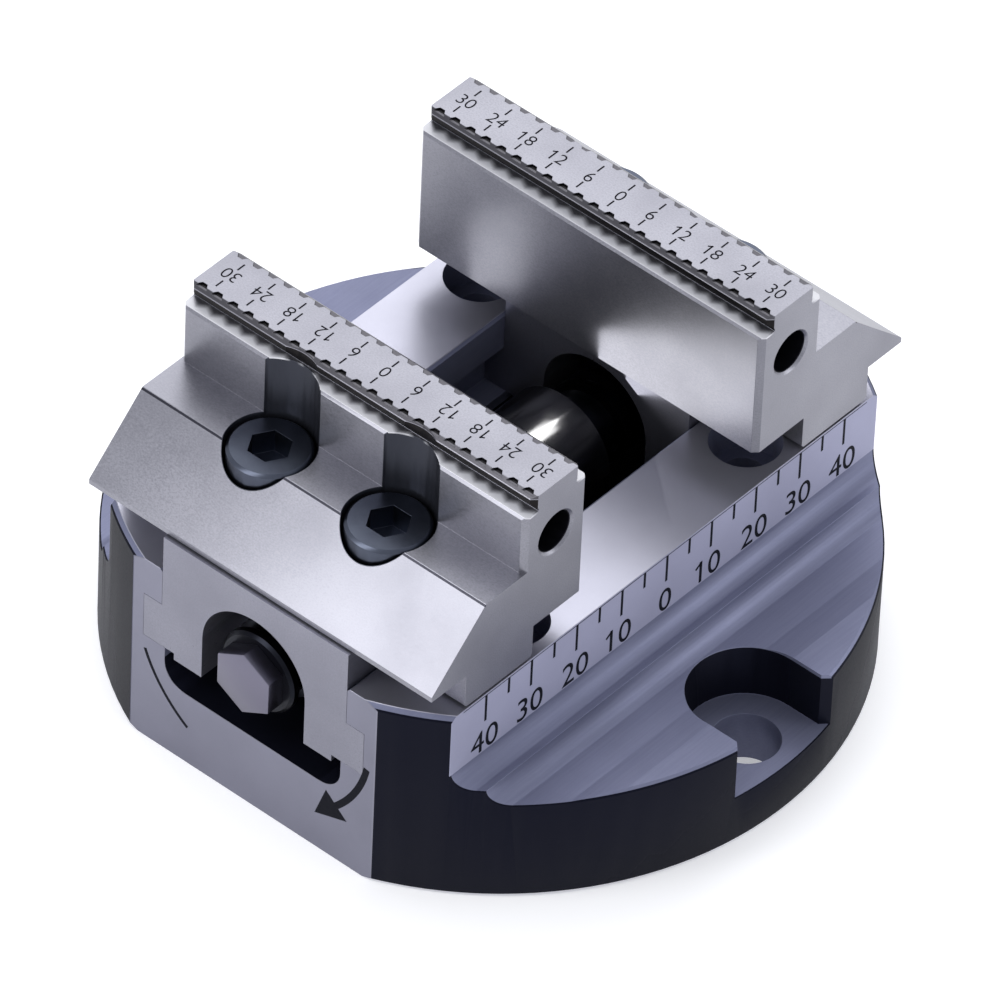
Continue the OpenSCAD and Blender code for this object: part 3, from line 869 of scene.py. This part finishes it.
@dataclass
class Engraver:
    """Draws marks in a face's own millimetres and lays them on the face as one piece.

    A figure one has a flag stroke, whose reach and width are shares of the figure's height.
    """

    face: MarkFace
    proud_mm: float = 0.015
    sunk_mm: float = 0.05
    flag: float = 0.2
    flag_w: float = 0.11
    curve_steps: int = 6
    weld_mm: float = 0.001
    pieces: list[Object] = field(default_factory=list)

    def keep(self, obj: Object) -> None:
        """Gives a flat outline its thickness and adds it to the marks.

        Args:
            obj: Flat mesh in the XY plane.
        """
        settle(obj, Matrix.Translation((0, 0, self.proud_mm)))
        apply_modifier(obj, "SOLIDIFY", thickness=self.proud_mm + self.sunk_mm, offset=-1.0)
        self.pieces.append(obj)

    def line(self, start: Pair, end: Pair, width: float) -> None:
        """Cuts a straight line.

        Args:
            start: Start of the line on the face.
            end: End of the line.
            width: Width of the line.
        """
        along = Vector(end) - Vector(start)
        middle = (Vector(start) + Vector(end)) / 2
        bpy.ops.mesh.primitive_plane_add(
            size=1.0, location=(*middle, 0), rotation=(0, 0, math.atan2(along.y, along.x))
        )
        obj = bpy.context.object
        obj.scale = (along.length, width, 1.0)
        self.keep(obj)

    def number(self, value: int, middle: Pair, height: float, thin: float = 0.0) -> None:
        """Cuts a number in plain figures.

        Args:
            value: The number.
            middle: Middle of the number on the face.
            height: Height of its figures.
            thin: Amount taken off each side of the figures' strokes.
        """
        bpy.ops.object.text_add()
        obj = bpy.context.object
        obj.data.body = str(value)
        obj.data.offset = -thin
        obj.data.resolution_u = self.curve_steps
        bpy.ops.object.convert(target="MESH")
        obj = bpy.context.object
        corners = [v.co for v in obj.data.vertices]
        low, high = (
            Vector((pick(c.x for c in corners), pick(c.y for c in corners), 0)) for pick in (min, max)
        )
        grow = height / (high.y - low.y)
        place = Matrix.Translation((*middle, 0)) @ Matrix.Scale(grow, 4)
        settle(obj, place @ Matrix.Translation(-(low + high) / 2))
        apply_modifier(obj, "WELD", merge_threshold=self.weld_mm)
        self.keep(obj)
        if str(value).startswith("1"):
            left = middle[0] - grow * (high.x - low.x) / 2
            top = middle[1] + height / 2
            stroke = self.flag_w * height
            self.line((left - self.flag * height, top - self.flag * height - stroke / 2),
                      (left + stroke, top - stroke / 2), stroke)

    def finish(self, name: str) -> Object:
        """Lays all marks on the face as one inked piece.

        Args:
            name: Name of the piece.

        Returns:
            The piece.
        """
        piece = join(self.pieces, name)
        settle(piece, self.face.matrix())
        MARK_INK.dress(piece)
        return piece


def place_piece(obj: Object, body: str) -> None:
    """Lets a new piece ride on its body and reports it.

    Args:
        obj: The piece.
        body: Body that it moves with.
    """
    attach(obj, body)
    LOG.info("%s rides on %s, %d faces", obj.name, body, len(obj.data.polygons))


@dataclass
class Unit:
    """A sub-assembly of the vise, built round the nodes of the loaded frame."""

    frame: dict[str, Any]

    def dress(self, node: str, finish: Finish, edge: EdgeBreak | None = None) -> None:
        """Gives a CAD node its finish and its broken edges.

        Args:
            node: Name of the node.
            finish: Its finish.
            edge: Its edge rounding, if it has one.
        """
        obj = self.frame["nodes"][node]
        finish.dress(obj)
        if edge:
            edge.add(obj)
        LOG.info("%s dressed in %s", node, finish.name)


@dataclass
class Base(Unit):
    """Round base with its rail scale and closing arrow, in millimetres."""

    scale_top: float = 35.1
    scale_end: int = 40
    scale_step: int = 5
    long_line: float = 5.1
    short_line: float = 3.0
    line_w: float = 0.5
    digit_h: float = 4.3
    digit_z: float = 26.3
    rule_w: float = 0.14
    rule_end: float = 45.0
    flat_y: float = -53.0
    arrow_r: float = 22.6
    arrow_w: float = 1.15
    arrow_start_deg: float = -10.5
    neck_deg: float = -42.4
    tip_deg: float = -56.8
    tip_reach: float = 0.4
    head_half_w: float = 2.8
    tail_w: float = 0.6
    tail_start_deg: float = -158.5
    tail_end_deg: float = -123.3
    arc_steps: int = 24
    weld_mm: float = 0.001

    def rail_scale(self) -> Object:
        """Cuts the millimetre scale into the right-hand rail's face.

        Returns:
            The scale.
        """
        marks = Engraver(MarkFace((RAIL_X, 0, 0), (0, 1, 0), (0, 0, 1)))
        for at in range(-self.scale_end, self.scale_end + 1, self.scale_step):
            is_long = at % (2 * self.scale_step) == 0
            length = self.long_line if is_long else self.short_line
            marks.line((at, self.scale_top - length), (at, self.scale_top), self.line_w)
            if is_long:
                marks.number(abs(at), (at, self.digit_z), self.digit_h)
        marks.line((-self.rule_end, self.scale_top), (self.rule_end, self.scale_top), self.rule_w)
        return marks.finish("rail_scale")

    def arc(self, marks: Engraver, start_deg: float, end_deg: float, width: float) -> None:
        """Cuts an arc about the spindle's axis.

        Args:
            marks: Engraver of the face.
            start_deg: Angle of the start, from +X.
            end_deg: Angle of the end.
            width: Width of the line.
        """
        bpy.ops.mesh.primitive_plane_add(size=1.0)
        obj = bpy.context.object
        with editing():
            bpy.ops.mesh.delete(type="ONLY_FACE")
        turn = Matrix.Rotation(math.radians(start_deg), 4, "Z")
        for vertex, reach in zip(obj.data.vertices, (-0.5, 0.5, -0.5, 0.5)):
            vertex.co = turn @ Vector((self.arrow_r + reach * width, 0, 0))
        sweep = math.radians(start_deg - end_deg)
        with editing():
            bpy.ops.mesh.remove_doubles(threshold=self.weld_mm)
            bpy.ops.mesh.select_all(action="SELECT")
            bpy.ops.mesh.spin(steps=self.arc_steps, angle=sweep, center=(0, 0, 0), axis=(0, 0, 1))
            bpy.ops.mesh.select_all(action="SELECT")
            bpy.ops.mesh.remove_doubles(threshold=self.weld_mm)
            bpy.ops.mesh.normals_make_consistent(inside=False)
        self.face_up(obj)
        marks.keep(obj)

    def face_up(self, obj: Object) -> None:
        """Turns a flat outline's faces to +Z."""
        if obj.data.polygons[0].normal.z < 0:
            obj.data.flip_normals()

    def head(self, marks: Engraver) -> None:
        """Cuts the arrow's head.

        Args:
            marks: Engraver of the face.
        """
        bpy.ops.mesh.primitive_circle_add(vertices=3, radius=1.0, fill_type="NGON")
        obj = bpy.context.object
        neck, half = self.neck_deg, self.head_half_w
        corners = ((self.tip_deg, self.tip_reach), (neck, -half), (neck, half))
        for vertex, (deg, reach) in zip(obj.data.vertices, corners):
            turn = Matrix.Rotation(math.radians(deg), 4, "Z")
            vertex.co = turn @ Vector((self.arrow_r + reach, 0, 0))
        obj.data.update()
        self.face_up(obj)
        marks.keep(obj)

    def closing_arrow(self) -> Object:
        """Cuts the arrow that shows which way the spindle closes the jaws.

        Returns:
            The arrow.
        """
        marks = Engraver(MarkFace((0, self.flat_y, AXIS_Z), (1, 0, 0), (0, 0, 1)))
        self.arc(marks, self.arrow_start_deg, self.neck_deg, self.arrow_w)
        self.head(marks)
        self.arc(marks, self.tail_start_deg, self.tail_end_deg, self.tail_w)
        return marks.finish("closing_arrow")

    def build(self) -> None:
        """Dresses the base and adds its marks."""
        self.dress("base_body", BASE_STEEL, EdgeBreak(width_mm=0.2))
        place_piece(self.rail_scale(), "base")
        place_piece(self.closing_arrow(), "base")


@dataclass
class CentreBearing(Unit):
    """Bearing block with its bushes, wiper rings, thrust fork and screws."""

    edge: EdgeBreak = EdgeBreak(width_mm=0.25)

    def build(self) -> None:
        """Dresses the block and what it holds."""
        self.dress("bearing_block", BLACK_ENAMEL, self.edge)
        self.dress("thrust_fork", PIN_STEEL, self.edge)
        self.dress("block_screws", SCREW_STEEL, EdgeBreak(width_mm=0.1))
        for end in End:
            self.dress(f"{end.title}_bush", BUSH_BRONZE)
            self.dress(f"{end.title}_wiper", WIPER_RUBBER)


@dataclass
class Carriage(Unit):
    """Slide, nut and bolted jaw at one end, in millimetres."""

    end: End
    jaw_top: float = 68.0
    scale_end: int = 30
    scale_step: int = 6
    line_l: float = 1.6
    line_w: float = 0.27
    rows: Pair = (-2.35, 2.35)
    digit_y: float = -0.1
    digit_h: float = 2.2
    digit_thin: float = 0.008

    def jaw_scale(self) -> Object:
        """Cuts the scale into the jaw's top.

        Returns:
            The scale.
        """
        turn = self.end.value
        marks = Engraver(MarkFace((0, turn * JAW_Y, self.jaw_top), (turn, 0, 0), (0, turn, 0)))
        for at in range(-self.scale_end, self.scale_end + 1, self.scale_step):
            marks.number(abs(at), (at, self.digit_y), self.digit_h, self.digit_thin)
            for row in self.rows:
                marks.line((at, row - self.line_l / 2), (at, row + self.line_l / 2), self.line_w)
        return marks.finish(f"{self.end.title}_jaw_scale")

    def build(self) -> None:
        """Dresses the carriage and adds its scale."""
        title = self.end.title
        self.dress(f"{title}_slide", SLIDE_STEEL, EdgeBreak(width_mm=0.2))
        self.dress(f"{title}_nut", NUT_STEEL, EdgeBreak(width_mm=0.1))
        self.dress(f"{title}_nut_lock_screw", SCREW_STEEL)
        self.dress(f"{title}_jaw", JAW_STEEL, EdgeBreak(width_mm=0.15))
        self.dress(f"{title}_jaw_dowel", PIN_STEEL)
        self.dress(f"{title}_jaw_screws", SCREW_STEEL, EdgeBreak(width_mm=0.3, segments=3))
        place_piece(self.jaw_scale(), f"{title}_carriage")


@dataclass
class SpindleUnit(Unit):
    """Spindle with opposed trapezoidal threads and key hexagons, in millimetres from its middle."""

    sides: int = 64
    steps: tuple[Pair, ...] = (
        (5.2, 3.0), (7.0, 3.0), (7.0, 16.0), (5.8, 16.0), (5.8, 50.8), (7.0, 50.8), (7.0, 51.8), (6.5, 52.3)
    )
    thread_start: float = 19.4
    thread_turns: int = 10
    pitch: float = 3.0
    tooth: tuple[Pair, ...] = ((5.6, -0.95), (7.0, -0.55), (5.6, 0.95), (7.0, 0.55))
    hex_af: float = 10.0
    hex_from: float = 51.3
    hex_to: float = 55.3
    hex_break: float = 0.18
    weld_mm: float = 0.002
    smooth_deg: float = 30.0

    def core(self) -> Object:
        """Turns one half of the spindle's core, step by step from its middle.

        Returns:
            The core, along +Z.
        """
        radius, height = self.steps[0][0], 0.0
        bpy.ops.mesh.primitive_circle_add(vertices=self.sides, radius=radius)
        core = bpy.context.object
        with editing():
            for next_radius, next_height in self.steps:
                rise = (0, 0, next_height - height)
                bpy.ops.mesh.extrude_region_move(TRANSFORM_OT_translate={"value": rise})
                grow = next_radius / radius
                bpy.ops.transform.resize(value=(grow, grow, 1.0), center_override=(0, 0, next_height))
                radius, height = next_radius, next_height
            bpy.ops.mesh.edge_face_add()
        return core

    def thread(self) -> Object:
        """Winds the thread's ridge round the core.

        Returns:
            The ridge, right-handed along +Z.
        """
        bpy.ops.mesh.primitive_plane_add(size=1.0)
        ridge = bpy.context.object
        for vertex, (reach, rise) in zip(ridge.data.vertices, self.tooth):
            vertex.co = (reach, 0, rise)
        steps = self.sides // 2
        apply_modifier(
            ridge, "SCREW", axis="Z", angle=math.tau, screw_offset=self.pitch, iterations=self.thread_turns,
            steps=steps, render_steps=steps, use_merge_vertices=False
        )
        with editing("DESELECT"):
            bpy.ops.mesh.select_non_manifold()
            bpy.ops.mesh.fill_holes(sides=4)
        return settle(ridge, Matrix.Translation((0, 0, self.thread_start)))

    def hexagon(self) -> Object:
        """Makes the key hexagon at the spindle's end.

        Returns:
            The hexagon, along +Z, with two corners on the Y axis.
        """
        bpy.ops.mesh.primitive_cylinder_add(
            vertices=6, radius=self.hex_af / 2 / math.cos(math.pi / 6), depth=self.hex_to - self.hex_from,
            location=(0, 0, (self.hex_to + self.hex_from) / 2)
        )
        hexagon = bpy.context.object
        apply_modifier(hexagon, "BEVEL", width=self.hex_break, segments=2, limit_method="ANGLE")
        return settle(hexagon)

    def half(self, end: End) -> Object:
        """Builds one half of the spindle and lays it along its end of the vise.

        Args:
            end: End that the half points to.

        Returns:
            The half. The front one is the rear one's mirror image, so its thread is left-handed.
        """
        half = join([self.core(), self.thread(), self.hexagon()], f"{end.title}_half")
        lay = Matrix.Rotation(-math.pi / 2, 4, "X")
        flip = Matrix.Scale(end.value, 4, (0, 1, 0))
        return settle(half, Matrix.Translation(mm(0, 0, AXIS_Z)) @ flip @ Matrix.Scale(MM, 4) @ lay)

    def shape(self) -> Object:
        """Joins both halves into the whole spindle.

        Returns:
            The spindle.
        """
        spindle = join([self.half(end) for end in End], "threaded_spindle")
        with editing():
            bpy.ops.mesh.remove_doubles(threshold=self.weld_mm * MM)
            bpy.ops.mesh.select_all(action="SELECT")
            bpy.ops.mesh.normals_make_consistent(inside=False)
        bpy.ops.object.shade_smooth_by_angle(angle=math.radians(self.smooth_deg))
        SPINDLE_STEEL.dress(spindle)
        return spindle

    def build(self) -> None:
        """Puts the threaded spindle in the CAD spindle's place."""
        spindle = self.shape()
        self.dress("spindle", SPINDLE_STEEL)
        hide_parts("spindle")
        place_piece(spindle, "spindle")


@dataclass(frozen=True)
class Softbox:
    """A rectangular studio light that looks at the vise and stays out of the picture itself.

    The direction leads from the target to the light, and lengths are in metres.
    """

    name: str
    direction: Triple
    distance: float
    size: Pair
    radiance: float
    target: Triple = (0, 0, 0.04)
    spread_deg: float = 180.0

    def add(self) -> None:
        """Hangs the light."""
        data = bpy.data.lights.new(self.name, "AREA")
        data.shape = "RECTANGLE"
        data.size, data.size_y = self.size
        data.energy = self.radiance * math.pi * self.size[0] * self.size[1]
        data.spread = math.radians(self.spread_deg)
        lamp = bpy.data.objects.new(self.name, data)
        lamp.visible_camera = False
        bpy.context.scene.collection.objects.link(lamp)
        away = Vector(self.direction).normalized()
        lamp.matrix_world = Matrix.Translation(Vector(self.target) + away * self.distance) @ (
            away.to_track_quat("Z", "Y").to_matrix().to_4x4()
        )


@dataclass
class Studio:
    """Pale floor, soft lights and the camera at the photograph's viewing angle."""

    azimuth_deg: float = 39.416
    elevation_deg: float = 43.463
    roll_deg: float = 2.707
    distance: float = 2.1057
    shift_right: float = -0.000549
    shift_up: float = -0.031513
    aim_z: float = 0.06805
    lens: float = 521.86
    floor_size: float = 6.0
    floor_colour: str = "#f0f0f1"
    sky_colour: str = "#eceef4"
    sky_strength: float = 0.95
    sensor: float = 36.0
    clip_end: float = 20.0
    softboxes: tuple[Softbox, ...] = (
        # Broad light from behind, for the sheen on tops and slopes
        Softbox("back_softbox", (-0.461, 0.561, 0.688), distance=0.60, size=(0.60, 0.60), radiance=1.8),
        # Small strong light for the bright field on the front jaw's slope
        Softbox("front_softbox", (-0.461, -0.688, 0.561), distance=0.12, size=(0.05, 0.10), radiance=4.4,
                target=(0.030, -0.047, 0.048)),
        # Faint light for the rear jaw's end face
        Softbox("right_softbox", (0.72, 0.62, 0.30), distance=0.14, size=(0.09, 0.09), radiance=0.55,
                target=(0.033, 0.030, 0.055), spread_deg=80.0),
        # Lamps in the gap between the jaws, for two bright fields on the rear jaw's inner face
        Softbox("right_gap_lamp", (-0.461, -0.561, -0.688), distance=0.014, size=(0.028, 0.013), radiance=2.6,
                target=(0.021, 0.0192, 0.050)),
        Softbox("left_gap_lamp", (-0.461, -0.561, -0.688), distance=0.014, size=(0.008, 0.012), radiance=1.3,
                target=(-0.017, 0.0192, 0.052)),
        # Tiny lamp above the bearing block, for the white highlight on its enamel
        Softbox("work_space_lamp", (-0.066, 0.561, 0.826), distance=0.0094, size=(0.006, 0.008), radiance=8.4,
                target=(0.0024, 0.0088, 0.0353), spread_deg=50.0),
    )

    def floor(self) -> None:
        """Lays the floor."""
        bpy.ops.mesh.primitive_plane_add(size=self.floor_size)
        floor = bpy.context.object
        floor.name = "studio_floor"
        StudioPaper("studio_paper", self.floor_colour, 0.9, metallic=0.0, pore_mm=2.0).dress(floor)

    def lights(self) -> None:
        """Hangs the softboxes and sets the sky."""
        for softbox in self.softboxes:
            softbox.add()
        world = bpy.data.worlds.new("studio_sky")
        bpy.context.scene.world = world
        world.use_nodes = True
        sky = world.node_tree.nodes["Background"]
        sky.inputs["Color"].default_value = linear(self.sky_colour)
        sky.inputs["Strength"].default_value = self.sky_strength

    def camera(self) -> None:
        """Places the camera, turned by azimuth, elevation and roll."""
        turn = Matrix.Identity(4)
        for deg, axis in ((self.azimuth_deg, "Z"), (90.0 - self.elevation_deg, "X"), (self.roll_deg, "Z")):
            turn = turn @ Matrix.Rotation(math.radians(deg), 4, axis)
        place = turn @ Vector((self.shift_right, self.shift_up, self.distance))
        data = bpy.data.cameras.new("camera")
        data.lens = self.lens
        data.sensor_width = self.sensor
        data.clip_end = self.clip_end
        camera = bpy.data.objects.new("camera", data)
        bpy.context.scene.collection.objects.link(camera)
        camera.matrix_world = Matrix.Translation(place + Vector((0, 0, self.aim_z))) @ turn
        bpy.context.scene.camera = camera

    def build(self) -> None:
        """Sets up floor, lights, camera and colour."""
        self.camera()
        self.floor()
        self.lights()
        bpy.context.scene.view_settings.view_transform = "Standard"


def main() -> None:
    """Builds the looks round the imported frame."""
    logging.basicConfig(level=logging.INFO, format="%(message)s")
    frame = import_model()
    Studio().build()
    Base(frame).build()
    CentreBearing(frame).build()
    SpindleUnit(frame).build()
    for end in End:
        Carriage(frame, end).build()


if __name__ == "__main__":
    main()
